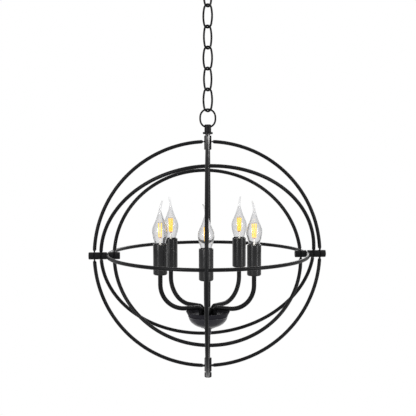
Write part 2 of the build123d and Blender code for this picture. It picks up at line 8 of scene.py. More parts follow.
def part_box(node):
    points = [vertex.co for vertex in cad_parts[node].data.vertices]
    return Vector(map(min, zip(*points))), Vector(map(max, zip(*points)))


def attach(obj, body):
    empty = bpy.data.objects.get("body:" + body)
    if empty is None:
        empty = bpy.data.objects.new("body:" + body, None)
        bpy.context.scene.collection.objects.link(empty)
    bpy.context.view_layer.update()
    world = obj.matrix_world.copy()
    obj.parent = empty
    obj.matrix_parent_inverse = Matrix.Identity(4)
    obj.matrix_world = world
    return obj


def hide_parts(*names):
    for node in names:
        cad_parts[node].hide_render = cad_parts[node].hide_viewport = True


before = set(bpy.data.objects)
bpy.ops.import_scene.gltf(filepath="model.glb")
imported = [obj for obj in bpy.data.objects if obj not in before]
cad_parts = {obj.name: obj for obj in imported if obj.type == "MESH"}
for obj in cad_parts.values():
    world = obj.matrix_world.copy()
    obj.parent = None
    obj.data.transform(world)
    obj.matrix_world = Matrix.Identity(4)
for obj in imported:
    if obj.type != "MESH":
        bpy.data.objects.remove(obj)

print("frame loaded:", len(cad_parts), "pieces")
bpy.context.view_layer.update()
mm = 0.001
up = Vector((0, 0, 1))
side = Vector((1, 0, 0))


class Wire:
    # one socket of a node tree, so that shader sums read as sums
    def __init__(self, tree, socket):
        self.tree = tree
        self.socket = socket

    def calc(self, operation, *parts):
        node = self.tree.nodes.new("ShaderNodeMath")
        node.operation = operation
        for slot, part in zip(node.inputs, parts):
            feed(self.tree, slot, part)
        return Wire(self.tree, node.outputs[0])

    def __add__(self, other):
        return self.calc("ADD", self, other)

    def __radd__(self, other):
        return self.calc("ADD", other, self)

    def __sub__(self, other):
        return self.calc("SUBTRACT", self, other)

    def __rsub__(self, other):
        return self.calc("SUBTRACT", other, self)

    def __mul__(self, other):
        return self.calc("MULTIPLY", self, other)

    def __rmul__(self, other):
        return self.calc("MULTIPLY", other, self)

    def __pow__(self, other):
        return self.calc("POWER", self, other)

    def clip(self):
        return self.calc("MINIMUM", self.calc("MAXIMUM", self, 0.0), 1.0)


def feed(tree, slot, value):
    if isinstance(value, Wire):
        tree.links.new(value.socket, slot)
    else:
        slot.default_value = value


class Look:
    def __init__(self, name, tree=None):
        if tree is None:
            self.material = bpy.data.materials.new(name)
            self.material.use_nodes = True
            tree = self.material.node_tree
        self.tree = tree
        tree.nodes.clear()

    # any node: its settings go in first, then values or links into its inputs
    def node(self, kind, settings=None, inputs=None, out=0):
        made = self.tree.nodes.new(kind)
        for key, value in (settings or {}).items():
            setattr(made, key, value)
        for key, value in (inputs or {}).items():
            feed(self.tree, made.inputs[key], value)
        return Wire(self.tree, made.outputs[out]) if made.outputs else None

    def place(self, stretch=(1, 1, 1)):
        here = self.node("ShaderNodeTexCoord", out="Object")
        return self.node("ShaderNodeVectorMath", {"operation": "MULTIPLY"}, {0: here, 1: stretch})

    def noise(self, scale, detail=2.0, rough=0.5, stretch=(1, 1, 1), warp=0.0):
        return self.node(
            "ShaderNodeTexNoise",
            inputs={"Vector": self.place(stretch), "Scale": scale, "Detail": detail,
                    "Roughness": rough, "Distortion": warp},
        )

    def blendColour(self, share, first, second):
        return self.node(
            "ShaderNodeMix", {"data_type": "RGBA"}, {0: share, 6: first, 7: second}, out=2
        )

    def bump(self, height, strength, depth):
        return self.node("ShaderNodeBump", inputs={"Height": height, "Strength": strength, "Distance": depth})

    def surface(self, inputs):
        return self.node("ShaderNodeBsdfPrincipled", inputs=inputs)

    def done(self, shader):
        self.node("ShaderNodeOutputMaterial", inputs={"Surface": shader})
        return self.material


def rgb(r, g, b):
    return (r, g, b, 1.0)


# paint on steel, with drawn streaks, orange peel and a film of dust
def paint(name, colour, pale, rough, peel, streak, sheen):
    look = Look(name)
    cloud = look.noise(14, 3, 0.6)
    fine = look.noise(950, 2, 0.55)
    drawn = look.noise(260, 3, 0.6, stretch=(1, 1, 0.05))
    # a film of dust on what faces up
    normal = look.node("ShaderNodeNewGeometry", out="Normal")
    facing = look.node("ShaderNodeSeparateXYZ", inputs={0: normal}, out="Z")
    dust = (facing * 1.6 - 0.75).clip() * (look.noise(70, 4, 0.7) * 1.4 - 0.25).clip() * 0.5
    tone = look.blendColour((cloud * 1.5 - 0.25).clip(), colour, pale)
    tone = look.blendColour(dust * 0.3, tone, rgb(0.16, 0.15, 0.14))
    gloss = rough + (cloud - 0.5) * 0.12 + (drawn - 0.5) * streak + dust * 0.22
    height = fine * 0.5 + look.noise(320, 2, 0.5) * 0.5
    shader = look.surface({
        "Base Color": tone, "Roughness": gloss.clip(), "Metallic": 0.0, "IOR": 1.17,
        "Coat Weight": (sheen - dust * 0.1).clip(), "Coat Roughness": 0.26, "Coat IOR": 1.35,
        "Normal": look.bump(height, 0.35, peel * mm),
    })
    return look.done(shader)


def metal(name, colour, shade, rough, stretch, scratch):
    look = Look(name)
    grain = look.noise(700, 3, 0.6, stretch=stretch)
    stain = (look.noise(45, 4, 0.65, warp=0.6) * 1.8 - 0.5).clip()
    shader = look.surface({
        "Base Color": look.blendColour(stain * 0.7, colour, shade),
        "Metallic": 1.0,
        "Roughness": (rough + (grain - 0.5) * 0.22 + stain * 0.12).clip(),
        "Normal": look.bump(grain, 0.3, scratch * mm),
    })
    return look.done(shader)


def moulded(name, colour, pale, rough):
    look = Look(name)
    flow = look.noise(60, 4, 0.6, warp=1.2)
    shader = look.surface({
        "Base Color": look.blendColour((flow * 1.6 - 0.3).clip(), colour, pale),
        "Roughness": (rough + (flow - 0.5) * 0.2).clip(),
        "Normal": look.bump(look.noise(900, 2, 0.5), 0.3, 0.03 * mm),
    })
    return look.done(shader)


def clearGlass(name):
    look = Look(name)
    # painted shade: the glass's colour darkens towards the grazing outline of each bulb, standing in for the longer
    # path of light there
    edge = look.node("ShaderNodeLayerWeight", inputs={"Blend": 0.32}, out="Facing")
    haze = look.noise(120, 3, 0.6)
    shader = look.surface({
        "Base Color": look.blendColour((edge ** 1.5 * 1.15).clip(), rgb(0.86, 0.86, 0.865), rgb(0.05, 0.052, 0.055)),
        "Roughness": (haze * 0.015).clip(),
        "IOR": 1.46,
        "Transmission Weight": 1.0,
        "Normal": look.bump(look.noise(60, 1, 0.4), 0.04, 0.2 * mm),
    })
    shadow = look.node("ShaderNodeLightPath", out="Is Shadow Ray")
    clear = look.node("ShaderNodeBsdfTransparent", inputs={"Color": rgb(0.93, 0.93, 0.93)})
    return look.done(look.node("ShaderNodeMixShader", inputs={0: shadow, 1: shader, 2: clear}))


# pale matt floor with faint clouding
def paleFloor(name):
    look = Look(name)
    cloud = look.noise(3, 3, 0.55)
    shader = look.surface({
        "Base Color": look.blendColour((cloud * 1.6 - 0.3).clip(), rgb(0.78, 0.78, 0.775), rgb(0.82, 0.82, 0.815)),
        "Roughness": (0.62 + cloud * 0.12).clip(),
        "Normal": look.bump(look.noise(240, 2, 0.5), 0.1, 0.2 * mm),
    })
    return look.done(shader)


# yellow filament coat; painted glow: it also gives off a faint light in its own colour
def phosphor(name):
    look = Look(name)
    grain = look.noise(1400, 2, 0.6)
    tone = look.blendColour(grain, rgb(0.9, 0.5, 0.03), rgb(1.0, 0.66, 0.07))
    shader = look.surface({
        "Base Color": tone, "Roughness": (0.45 + grain * 0.2).clip(),
        "Emission Color": tone, "Emission Strength": 0.45,
        "Normal": look.bump(grain, 0.4, 0.05 * mm),
    })
    return look.done(shader)


looks = {
    "black": paint("satinBlack", rgb(0.004, 0.004, 0.0045), rgb(0.008, 0.008, 0.009), 0.38, 0.02, 0.06, 0.08),
    "sleeve": paint("sleeveBlack", rgb(0.006, 0.006, 0.0065), rgb(0.011, 0.011, 0.012), 0.34, 0.03, 0.2, 0.7),
    "cup": paint("cupCharcoal", rgb(0.013, 0.0127, 0.017), rgb(0.024, 0.023, 0.03), 0.3, 0.03, 0.06, 0.6),
    "dish": paint("dishCharcoal", rgb(0.012, 0.0115, 0.015), rgb(0.022, 0.021, 0.027), 0.62, 0.03, 0.08, 0.0),
    "zinc": metal("zincPlate", rgb(0.62, 0.62, 0.6), rgb(0.42, 0.43, 0.44), 0.38, (1, 0.08, 1), 0.01),
    "brass": metal("brassContact", rgb(0.8, 0.6, 0.28), rgb(0.5, 0.35, 0.16), 0.3, (1, 1, 0.1), 0.01),
    "nickel": metal("nickelCap", rgb(0.78, 0.77, 0.74), rgb(0.55, 0.54, 0.52), 0.24, (1, 1, 0.2), 0.008),
    "wireMetal": metal("leadWire", rgb(0.6, 0.58, 0.55), rgb(0.4, 0.36, 0.33), 0.35, (1, 1, 0.2), 0.004),
    "phenolic": moulded("phenolicBrown", rgb(0.018, 0.014, 0.012), rgb(0.034, 0.027, 0.023), 0.3),
    "cream": moulded("mountCream", rgb(0.72, 0.7, 0.64), rgb(0.86, 0.84, 0.79), 0.22),
    "red": moulded("mountRed", rgb(0.42, 0.09, 0.05), rgb(0.6, 0.17, 0.08), 0.35),
    "glass": clearGlass("clearGlass"),
    "phosphor": phosphor("phosphorCoatPaintedGlow"),
}
print("materials made:", len(looks))


# a mesh object that rides on its body and stands in for its CAD nodes
def finishMesh(name, verts, faces, body, material, slot, nodes=(), sharp=38):
    mesh = bpy.data.meshes.new(name)
    mesh.from_pydata([tuple(v) for v in verts], [], faces)
    tidy = bmesh.new()
    tidy.from_mesh(mesh)
    bmesh.ops.recalc_face_normals(tidy, faces=tidy.faces)
    tidy.to_mesh(mesh)
    tidy.free()
    mesh.shade_smooth()
    mesh.set_sharp_from_angle(angle=math.radians(sharp))
    mesh.materials.append(looks[material])
    made = bpy.data.objects.new(name, mesh)
    bpy.context.scene.collection.objects.link(made)
    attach(made, body)
    if nodes:
        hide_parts(*nodes)
    return made


# quads between loops of points, with the ends open, capped or joined
def skin(loops, closed=False, caps=False):
    count = len(loops[0])
    verts = [point for loop in loops for point in loop]
    faces = []
    pairs = len(loops) if closed else len(loops) - 1
    for i in range(pairs):
        a, b = i * count, ((i + 1) % len(loops)) * count
        for k in range(count):
            n = (k + 1) % count
            faces.append((a + k, a + n, b + n, b + k))
    if caps and not closed:
        faces.append(tuple(range(count - 1, -1, -1)))
        faces.append(tuple(range((len(loops) - 1) * count, len(loops) * count)))
    return verts, faces


def joined(parts):
    verts, faces = [], []
    for someVerts, someFaces in parts:
        base = len(verts)
        verts += someVerts
        faces += [tuple(base + i for i in face) for face in someFaces]
    return verts, faces


# a profile of (r, z) or (r, z, rounding) points with its corners rounded
def soften(profile, closed=True, steps=5):
    made = []
    count = len(profile)
    for i, point in enumerate(profile):
        here = Vector(point[:2])
        radius = point[2] if len(point) > 2 else 0
        if not radius or (not closed and i in (0, count - 1)):
            made.append(here)
            continue
        back = Vector(profile[i - 1][:2]) - here
        on = Vector(profile[(i + 1) % count][:2]) - here
        angle = back.angle(on)
        reach = min(radius / math.tan(angle / 2), back.length * 0.49, on.length * 0.49)
        a, b = here + back.normalized() * reach, here + on.normalized() * reach
        for k in range(steps + 1):
            t = k / steps
            made.append(a * (1 - t) ** 2 + here * 2 * t * (1 - t) + b * t * t)
    return made


# a turned shape: profile in mm round an axis through a point in metres
def turned(profile, foot, axis=up, closed=True, turns=64):
    axis = axis.normalized()
    first = axis.orthogonal().normalized()
    second = axis.cross(first)
    loops = []
    for r, z in profile:
        ring = []
        for k in range(turns):
            a = 2 * math.pi * k / turns
            ring.append(foot + axis * z * mm + (first * math.cos(a) + second * math.sin(a)) * max(r, 0.01) * mm)
        loops.append(ring)
    return skin(loops, closed=closed, caps=not closed)


# round bar along a path in metres, its radius in mm at each point
def swept(path, radii, sides=20, closed=False, caps=True):
    count = len(path)
    if not hasattr(radii, "__len__"):
        radii = [radii] * count
    loops = []
    frameDir = None
    for i, point in enumerate(path):
        if closed:
            tangent = path[(i + 1) % count] - path[i - 1]
        else:
            tangent = path[min(i + 1, count - 1)] - path[max(i - 1, 0)]
        tangent.normalize()
        if frameDir is None:
            frameDir = tangent.orthogonal().normalized()
        frameDir = (frameDir - tangent * frameDir.dot(tangent)).normalized()
        other = tangent.cross(frameDir)
        ring = []
        for k in range(sides):
            a = 2 * math.pi * k / sides
            ring.append(point + (frameDir * math.cos(a) + other * math.sin(a)) * radii[i] * mm)
        loops.append(ring)
    return skin(loops, closed=closed, caps=caps)


# corners of a path turned into arcs of a given radius in mm
def bent(corners, radii, steps=14):
    path = [corners[0]]
    for i in range(1, len(corners) - 1):
        here = corners[i]
        back = (corners[i - 1] - here).normalized()
        on = (corners[i + 1] - here).normalized()
        angle = back.angle(on)
        radius = radii[i - 1] * mm
        reach = radius / math.tan(angle / 2)
        middle = here + (back + on).normalized() * radius / math.sin(angle / 2)
        a, b = here + back * reach - middle, here + on * reach - middle
        sweep = a.angle(b)
        for k in range(steps + 1):
            t = k / steps
            path.append(middle + (a * math.sin((1 - t) * sweep) + b * math.sin(t * sweep)) / math.sin(sweep))
    path.append(corners[-1])
    return path


# round holes through a finished piece
def drill(piece, holes):
    for foot, axis, radius, length in holes:
        verts, faces = turned([(radius, 0), (radius, length)], foot, axis, closed=False, turns=40)
        mesh = bpy.data.meshes.new("drill")
        mesh.from_pydata([tuple(v) for v in verts], [], faces)
        bit = bpy.data.objects.new("drill", mesh)
        bpy.context.scene.collection.objects.link(bit)
        tidy = bmesh.new()
        tidy.from_mesh(mesh)
        bmesh.ops.recalc_face_normals(tidy, faces=tidy.faces)
        tidy.to_mesh(mesh)
        tidy.free()
        cut = piece.modifiers.new("cut", "BOOLEAN")
        cut.operation = "DIFFERENCE"
        cut.solver = "EXACT"
        cut.object = bit
        bpy.context.view_layer.update()
        after = bpy.data.meshes.new_from_object(piece.evaluated_get(bpy.context.evaluated_depsgraph_get()))
        piece.modifiers.clear()
        piece.data = after
        bpy.data.objects.remove(bit)
    piece.data.shade_smooth()
    piece.data.set_sharp_from_angle(angle=math.radians(38))
    return piece


def middle(node):
    low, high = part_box(node)
    return (low + high) / 2


def level(angle):
    return Vector((math.cos(math.radians(angle)), math.sin(math.radians(angle)), 0))


def leaned(angle):
    return Vector((0, -math.sin(math.radians(angle)), math.cos(math.radians(angle))))


orb = middle("main_ring")


# the five rings: round bar, pressed flat where a hub passes
ringShape = {"rod": 4.0, "flatHalf": 1.5, "flatWide": 5.6, "flatReach": 9.5, "neckReach": 14.0, "sides": 24, "steps": 56}
ringSet = {
    "main_ring": {"body": "fixture", "radius": 250.0, "hub": side, "run": up, "hubs": 4, "holes": (3.05, 4.05)},
    "cross_ring": {"body": "cross_ring", "radius": 264.5, "hub": up, "run": level(-94.6), "hubs": 2, "holes": (4.08,)},
    "front_ring": {"body": "front_ring", "radius": 235.5, "hub": side, "run": leaned(30.5), "hubs": 2, "holes": (3.08,)},
    "level_ring": {"body": "level_ring", "radius": 221.0, "hub": side, "run": leaned(90), "hubs": 2, "holes": (3.08,)},
    "back_ring": {"body": "back_ring", "radius": 206.5, "hub": side, "run": leaned(-28.5), "hubs": 2, "holes": (3.08,)},
}


def ringSection(out, normal, point, flat):
    bar = ringShape
    thick = bar["rod"] + (bar["flatHalf"] - bar["rod"]) * flat
    wide = bar["rod"] + (bar["flatWide"] - bar["rod"]) * flat
    power = 1.0 - 0.72 * flat
    loop = []
    for k in range(bar["sides"]):
        a = 2 * math.pi * (k + 0.5) / bar["sides"]
        c, n = math.cos(a), math.sin(a)
        x = math.copysign(abs(c) ** power, c) * thick
        y = math.copysign(abs(n) ** power, n) * wide
        loop.append(point + (out * x + normal * y) * mm)
    return loop


def ringLoops(ring):
    bar = ringShape
    radius = ring["radius"]
    hub, run = ring["hub"], ring["run"]
    normal = hub.cross(run)
    start = math.asin(bar["neckReach"] / radius)
    quarter = 2 * math.pi / ring["hubs"]
    steps = bar["steps"] * 4 // ring["hubs"]
    loops = []
    for h in range(ring["hubs"]):
        turn = Matrix.Rotation(h * quarter, 3, normal)
        here, on = turn @ hub, turn @ run
        across = normal.cross(here)
        necks = [bar["flatReach"] + (bar["neckReach"] - bar["flatReach"]) * k / 6 for k in range(6)]
        for t in [-n for n in reversed(necks)] + [-5, 0, 5] + necks:
            share = (abs(t) - bar["flatReach"]) / (bar["neckReach"] - bar["flatReach"])
            share = min(max(share, 0), 1)
            share = share * share * (3 - 2 * share)
            out = radius + (math.sqrt(radius * radius - t * t) - radius) * share
            point = orb + (here * out + across * t) * mm
            facing = (here * radius + across * t * share).normalized()
            loops.append(ringSection(facing, normal, point, 1 - share))
        for k in range(steps + 1):
            a = start + (quarter - 2 * start) * k / steps
            facing = here * math.cos(a) + across * math.sin(a)
            loops.append(ringSection(facing, normal, orb + facing * radius * mm, 0))
    return loops


for name, ring in ringSet.items():
    verts, faces = skin(ringLoops(ring), closed=True)
    made = finishMesh(name + "_bar", verts, faces, ring["body"], "black", "black_satin", [name])
    holes = []
    for way, radius in zip((ring["hub"], ring["run"]), ring["holes"]):
        reach = ring["radius"] + 5
        for end in (1, -1):
            holes.append((orb + way * end * (reach - 10) * mm, way * end, radius, 10))
    drill(made, holes)
print("rings done")


# a plain spacer: profile from one face to the other round a bore
def spacerProfile(outer, bore, length, ease=0.35):
    return soften([(bore, 0, 0.15), (outer, 0, ease), (outer, length, ease), (bore, length, 0.15)])


def capProfile(outer, length, edge, ease=0.35):
    return soften([(0, 0), (outer, 0, ease), (outer, length, edge), (0, length)], closed=False, steps=8)


def nutProfile(outer, bore, length, edge, blind=3.0):
    return soften(
        [(0, length - blind), (bore, length - blind), (bore, 0, 0.3), (outer, 0, 0.35), (outer, length, edge), (0, length)],
        closed=False, steps=8,
    )


sideCaps = {"length": 11.5, "nut": 11.0, "inner": 206.5}
axles, spacers, nuts = [], [], []
for end in (-1, 1):
    out = side * end
    capFace = orb + out * (250 + 1.5) * mm
    axleEnd = sideCaps["inner"] - 1.6 - sideCaps["nut"] + 3.3
    axles.append(turned(capProfile(8, sideCaps["length"], 2.2), capFace, out, closed=False))
    axles.append(turned(capProfile(3, 251.5 - axleEnd, 0.4), capFace, -out, closed=False, turns=32))
    for inner in (235.5, 221.0, 206.5):
        foot = inner + 1.6
        length = inner + 14.5 - 1.5 - (0 if inner == 235.5 else 0.1) - foot
        spacers.append(turned(spacerProfile(8, 3.05, length), orb + out * foot * mm, out))
    nutFace = orb + out * (sideCaps["inner"] - 1.6) * mm
    nuts.append(turned(nutProfile(8, 3.05, sideCaps["nut"], 2.2), nutFace, -out, closed=False))
finishMesh("side_axle_pins", *joined(axles), "fixture", "black", "black_satin", ["side_axles"])
finishMesh("side_spacer_rings", *joined(spacers), "fixture", "black", "black_satin", ["side_spacers"])
finishMesh("side_cap_nuts", *joined(nuts), "fixture", "black", "black_satin", ["side_nuts"])

poleHub = {"spacer": 11.4, "nut": 16.5, "cap": 10.5, "capFace": 266.1, "nutFace": 248.5}
for name, out in (("top", up), ("bottom", -up)):
    verts, faces = turned(spacerProfile(8, 4.05, poleHub["spacer"]), orb + out * 251.5 * mm, out)
    finishMesh(name + "_hub_spacer", verts, faces, "fixture", "black", "black_satin", [name + "_spacer"])
openNut = soften([(4.05, 0, 0.2), (8, 0, 0.35), (8, poleHub["nut"], 2.2), (4.05, poleHub["nut"], 0.2)])
verts, faces = turned(openNut, orb + up * poleHub["nutFace"] * mm, -up)
finishMesh("top_hub_nut", verts, faces, "fixture", "black", "black_satin", ["top_nut"])
verts, faces = turned(nutProfile(8, 4.05, poleHub["nut"], 2.2), orb - up * poleHub["nutFace"] * mm, up, closed=False)
finishMesh("bottom_hub_nut", verts, faces, "fixture", "black", "black_satin", ["bottom_nut"])
poleAxle = 266.1 - 248.5 + poleHub["nut"] - 3.3
parts = [
    turned(capProfile(8, poleHub["cap"], 2.2), orb - up * poleHub["capFace"] * mm, -up, closed=False),
    turned(capProfile(4, poleAxle, 0.4), orb - up * poleHub["capFace"] * mm, up, closed=False, turns=32),
]
finishMesh("bottom_hub_axle", *joined(parts), "fixture", "black", "black_satin", ["bottom_axle"])
print("hubs done")


linkShape = {"wire": 2.2, "halfWide": 12.5, "halfTall": 24.95, "end": 10.5, "seam": 0.35}
loopShape = {"wire": 2.0, "halfWide": 16.75, "halfTall": 19.75, "end": 16.5, "seam": 0.3}


# an oval of wire from two bowed sides and two round ends, with the fine seam where the wire meets half way up a leg
def ovalOf(shape, centre, across):
    wide, end = shape["halfWide"], shape["end"]
    rise = shape["halfTall"] - end
    bow = (wide ** 2 + rise ** 2 - end ** 2) / (2 * (wide - end))
    edge = math.atan2(rise, bow - wide)
    path, radii = [], []
    for half in (1, -1):
        turns = [(edge * k / 8, 1) for k in range(-8, 8)]
        if half == 1:
            seam = [(-0.9, 1), (-0.25, 0.97), (0, 1 - shape["seam"]), (0.25, 0.97), (0.9, 1)]
            turns[8:9] = [(z / bow, width) for z, width in seam]
        for a, width in turns:
            x, z = bow * math.cos(a) - (bow - wide), bow * math.sin(a)
            path.append(centre + (across * x + up * z) * half * mm)
            radii.append(shape["wire"] * width)
        for k in range(16):
            a = edge + (math.pi - 2 * edge) * k / 16
            path.append(centre + (across * end * math.cos(a) + up * (rise + end * math.sin(a))) * half * mm)
            radii.append(shape["wire"])
    return swept(path, radii, sides=20, closed=True)


for i in range(1, 7):
    node = f"chain_link_{i}"
    across = level(45 if i % 2 else -45) * (1 if i % 3 else -1)
    verts, faces = ovalOf(linkShape, middle(node), across)
    finishMesh(node + "_wire", verts, faces, f"link_{i}", "black", "black_satin", [node])
verts, faces = ovalOf(loopShape, middle("loop_ring"), side)
finishMesh("loop_ring_wire", verts, faces, "loop", "black", "black_satin", ["loop_ring"])
print("chain done")


# the canopy's shell
canopyShape = {"radius": 60.0, "height": 27.0, "edge": 6.0, "crown": 40.0, "wall": 1.2, "hole": 5.05}
dome = canopyShape
outer = [
    (dome["hole"], -dome["height"], 0.3), (dome["crown"], -dome["height"], 12),
    (dome["radius"], -dome["edge"], 1.2), (dome["radius"], 0, 0.3),
]
inner = [
    (dome["radius"] - dome["wall"], 0, 0.3), (dome["radius"] - dome["wall"], -dome["edge"] + 0.5, 1),
    (dome["crown"] - 0.8, -dome["height"] + dome["wall"], 11), (dome["hole"], -dome["height"] + dome["wall"], 0.3),
]
verts, faces = turned(soften(outer + inner, steps=8), Vector((0, 0, 0)), up, turns=128)
finishMesh("canopy_shell", verts, faces, "ceiling_fitting", "black", "black_satin", ["canopy"])


# the flanged collar that the loop passes through
collarShape = {"radius": 7.5, "dome": 3.0, "flange": 11.0, "thick": 5.0, "round": 1.6, "bore": 4.05,
               "depth": 11.0, "hole": 3.4, "holeDrop": 5.6, "inlet": 2.0, "inletRise": 9.0}
neck = collarShape
low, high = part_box("loop_collar")
total = (high.z - low.z) / mm
profile = soften([
    (0, neck["depth"]), (neck["bore"], neck["depth"]), (neck["bore"], 0, 0.3), (neck["flange"], 0, neck["round"]),
    (neck["flange"], neck["thick"], neck["round"]), (neck["radius"], neck["thick"], 0.5),
    (neck["radius"], total, neck["dome"]), (0, total),
], closed=False, steps=8)
foot = Vector((0, 0, low.z))
verts, faces = turned(profile, foot, up, closed=False)
collar = finishMesh("collar_body", verts, faces, "fixture", "black", "black_satin", ["loop_collar"])
drill(collar, [
    (foot + up * (total - neck["holeDrop"]) * mm - side * 9 * mm, side, neck["hole"], 18),
    (foot + up * neck["inletRise"] * mm, Vector((0, 1, 0)), neck["inlet"], 12),
])
print("collar done")


def span(node):
    low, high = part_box(node)
    return Vector((0, 0, low.z)), (high.z - low.z) / mm


foot, length = span("stem_tube")
verts, faces = turned(spacerProfile(4, 2.8, length, 0.3), foot, turns=48)
finishMesh("stem_pipe", verts, faces, "fixture", "black", "black_satin", ["stem_tube"])
foot, length = span("stem_nut")
verts, faces = turned(soften([(4.05, 0, 0.3), (7.5, 0, 0.4), (7.5, length, 2.2), (4.05, length, 0.3)], steps=8), foot)
finishMesh("stem_collar_nut", verts, faces, "fixture", "black", "black_satin", ["stem_nut"])

plateShape = {"floor": 43.5, "rim": 49.0, "sheet": 1.2, "bore": 4.05}
dish = plateShape
foot, length = span("arm_plate")
profile = soften([
    (dish["bore"], 0), (dish["floor"], 0, 1.4), (dish["rim"], length, 0.4), (dish["rim"] - dish["sheet"], length, 0.4),
    (dish["floor"] - dish["sheet"], dish["sheet"], 1.0), (dish["bore"], dish["sheet"]),
])
verts, faces = turned(profile, foot, turns=96)
plate = finishMesh("arm_dish", verts, faces, "fixture", "dish", "cup_charcoal", ["arm_plate"])

cupShape = {"radius": 43.5, "bulge": 27.5, "sheet": 1.2, "bead": 0.9, "bore": 4.05}
bowl = cupShape
foot, length = span("wiring_cup")
flat = math.asin(length / bowl["bulge"])
outline = [(bowl["radius"], length)]
for k in range(1, 8):
    a = math.pi / 2 - math.pi * k / 8
    outline.append((bowl["radius"] + bowl["bead"] * math.cos(a), length - bowl["bead"] + bowl["bead"] * math.sin(a)))
for k in range(2, 25):
    a = flat * k / 24
    outline.append((bowl["radius"] * math.cos(a), length - bowl["bulge"] * math.sin(a)))
outline.append((bowl["bore"], 0))
outline.append((bowl["bore"], bowl["sheet"]))
inside = math.asin((length - bowl["sheet"]) / (bowl["bulge"] - bowl["sheet"]))
for k in range(24, -1, -1):
    a = inside * k / 24
    outline.append(((bowl["radius"] - bowl["sheet"]) * math.cos(a), length - (bowl["bulge"] - bowl["sheet"]) * math.sin(a)))
verts, faces = turned([Vector(q) for q in outline], foot, turns=96)
finishMesh("cup_shell", verts, faces, "fixture", "cup", "cup_charcoal", ["wiring_cup"])

finialShape = {"band": 16.5, "bandHeight": 3.0, "shoulder": 10.5, "waist": 7.0, "taper": 6.0, "round": 3.5, "grip": 7.0}
knob = finialShape
foot, length = span("finial")
bandFoot = length - knob["bandHeight"]
taperFoot = bandFoot - knob["taper"]
profile = [Vector((0, 0))]
profile += soften([(0, 0), (knob["waist"], 0, knob["round"]), (knob["waist"], taperFoot)], closed=False, steps=8)[1:]
shoulder = Vector((knob["shoulder"], bandFoot - knob["taper"] / 3))
a, b = Vector((knob["waist"], taperFoot)), Vector((knob["band"], bandFoot))
knee = shoulder * 2 - (a + b) / 2
for k in range(1, 9):
    t = k / 9
    profile.append(a * (1 - t) ** 2 + knee * 2 * t * (1 - t) + b * t * t)
profile += soften([b, (knob["band"], length, 0.5), (4.05, length)], closed=False)
profile += [Vector((4.05, length - knob["grip"])), Vector((0, length - knob["grip"]))]
verts, faces = turned(profile, foot, closed=False)
finishMesh("finial_knob", verts, faces, "fixture", "cup", "cup_charcoal", ["finial"])
print("cup done")


armShape = {"tube": 5.0, "thread": 4.0, "root": 16.0, "run": -117.5, "elbow": 8.0, "bend": 56.0, "foot": 7.0, "entry": 11.0}
sleeveShape = {"radius": 15.5, "wall": 1.2, "round": 4.0, "bore": 4.05}
holderShape = {"radius": 13.0, "shell": 8.25, "depth": 22.0, "bevel": 1.5, "skirt": 4.0, "entry": 11.0,
               "height": 57.0}
capShape = {"barrel": 6.95, "skirt": 8.5, "length": 25.0, "wall": 0.6, "button": 2.5, "pitch": 2.82, "depth": 0.75}
glassShape = {
    "wall": 0.9, "seat": 3.6, "neck": 7.7, "lean": 8.0,
    "length": 101.6, "rows": 96, "bendFrom": 74.0, "bendOver": 24.5, "hollowRows": 78, "sides": 48,
    "side": [(-3.6, 7.7), (0, 7.7), (6.5, 11.9), (34, 17.5), (57, 9.2), (77, 2.9), (90, 2.1), (98.5, 1.4)],
    "tails": (40.0, 118.0, 160.0, 62.0, 124.0),
}
mountShape = {"foot": 1.2, "radius": 6.6, "flare": 4.2, "top": 1.6, "height": 22.0}
filamentShape = {"rod": 1.2, "length": 34.0, "foot": 3.2, "head": 4.6, "tip": 2.0, "wire": 0.3,
                 "turns": (0, 24, 12, 20, 33)}

dishHoles = []
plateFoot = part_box("arm_plate")[0].z
floorTop = plateFoot + 1.2 * mm


# a screw thread standing on a round core: crests and valleys climb one pitch a turn
def threadTube(core, depth, pitch, low, high, foot, sides=36, fineness=8):
    rows = int((high - low) / pitch * fineness)
    loops = []
    for i in range(rows + 1):
        z = low + (high - low) * i / rows
        ease = min(1.0, (z - low) / pitch, (high - z) / pitch)
        ring = []
        for k in range(sides):
            a = 2 * math.pi * k / sides
            wave = 0.5 + 0.5 * math.cos(2 * math.pi * (z / pitch - k / sides))
            r = core - depth * (1 - wave * ease)
            ring.append(foot + Vector((r * math.cos(a), r * math.sin(a), z)) * mm)
        loops.append(ring)
    return skin(loops, caps=True)


def armPath(index):
    tip = middle(f"candle_sleeve_{index}")
    way = Vector((tip.x, tip.y, 0)).normalized()
    reach = Vector((tip.x, tip.y, 0)).length
    root = way * armShape["root"] * mm
    run = orb.z + armShape["run"] * mm
    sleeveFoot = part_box(f"candle_sleeve_{index}")[0].z
    corners = [root + up * floorTop, root + up * run, way * reach + up * run, way * reach + up * sleeveFoot]
    return bent(corners, (armShape["elbow"], armShape["bend"]), 18), root, way * reach, sleeveFoot


# smooth curve through the glass's heights and radii
def glassRadius(z):
    points = glassShape["side"]
    count = len(points)
    for i in range(count - 1):
        z0, r0 = points[i]
        z1, r1 = points[i + 1]
        if z <= z1 or i == count - 2:
            before = points[i - 1] if i else points[i]
            after = points[i + 2] if i + 2 < count else points[i + 1]
            m0 = (r1 - before[1]) / (z1 - before[0]) if i else 0
            m1 = (after[1] - r0) / (after[0] - z0)
            h = z1 - z0
            t = min(max((z - z0) / h, 0), 1)
            return (
                r0 * (1 + 2 * t) * (1 - t) ** 2 + m0 * h * t * (1 - t) ** 2
                + r1 * t * t * (3 - 2 * t) + m1 * h * t * t * (t - 1)
            )
    return points[-1][1]


